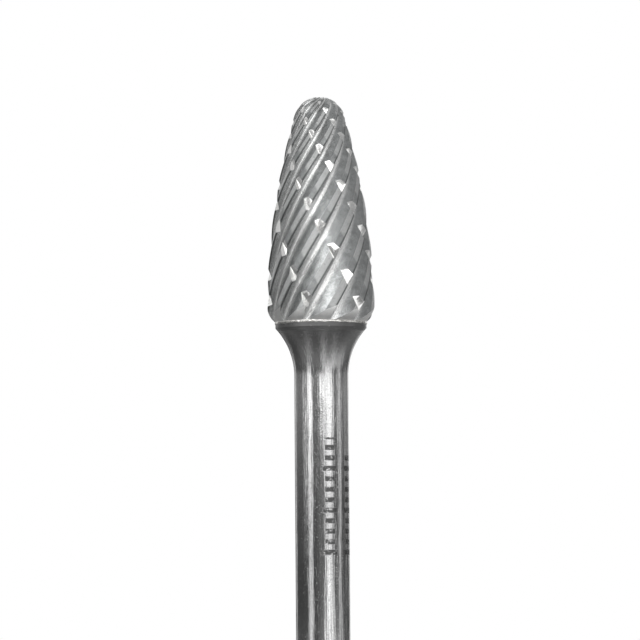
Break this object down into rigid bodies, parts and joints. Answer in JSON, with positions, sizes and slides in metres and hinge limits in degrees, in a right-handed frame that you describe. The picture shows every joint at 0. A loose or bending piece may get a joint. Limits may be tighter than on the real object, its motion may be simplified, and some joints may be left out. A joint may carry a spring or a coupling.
{
  "type": "carbide burr",
  "caption": "Tree-shaped carbide burr with helical flutes and chip-breaker grooves, brazed to a 6 mm steel shank, for rotary grinding and deburring.",
  "frame": {"origin": "centre of the shank's flat end face", "axes": "+Z along the tool's axis from the shank's end towards the tip; X and Y square to it, with no marked side"},
  "size_m": [0.0119, 0.0119, 0.07],
  "materials": {
    "carbide": "satin",
    "braze": "satin",
    "steel": "polished"
  },
  "bodies": {
    "root": {"carbide_head": "carbide", "braze_seam": "braze", "steel_shank": "steel"}
  },
  "joints": []
}
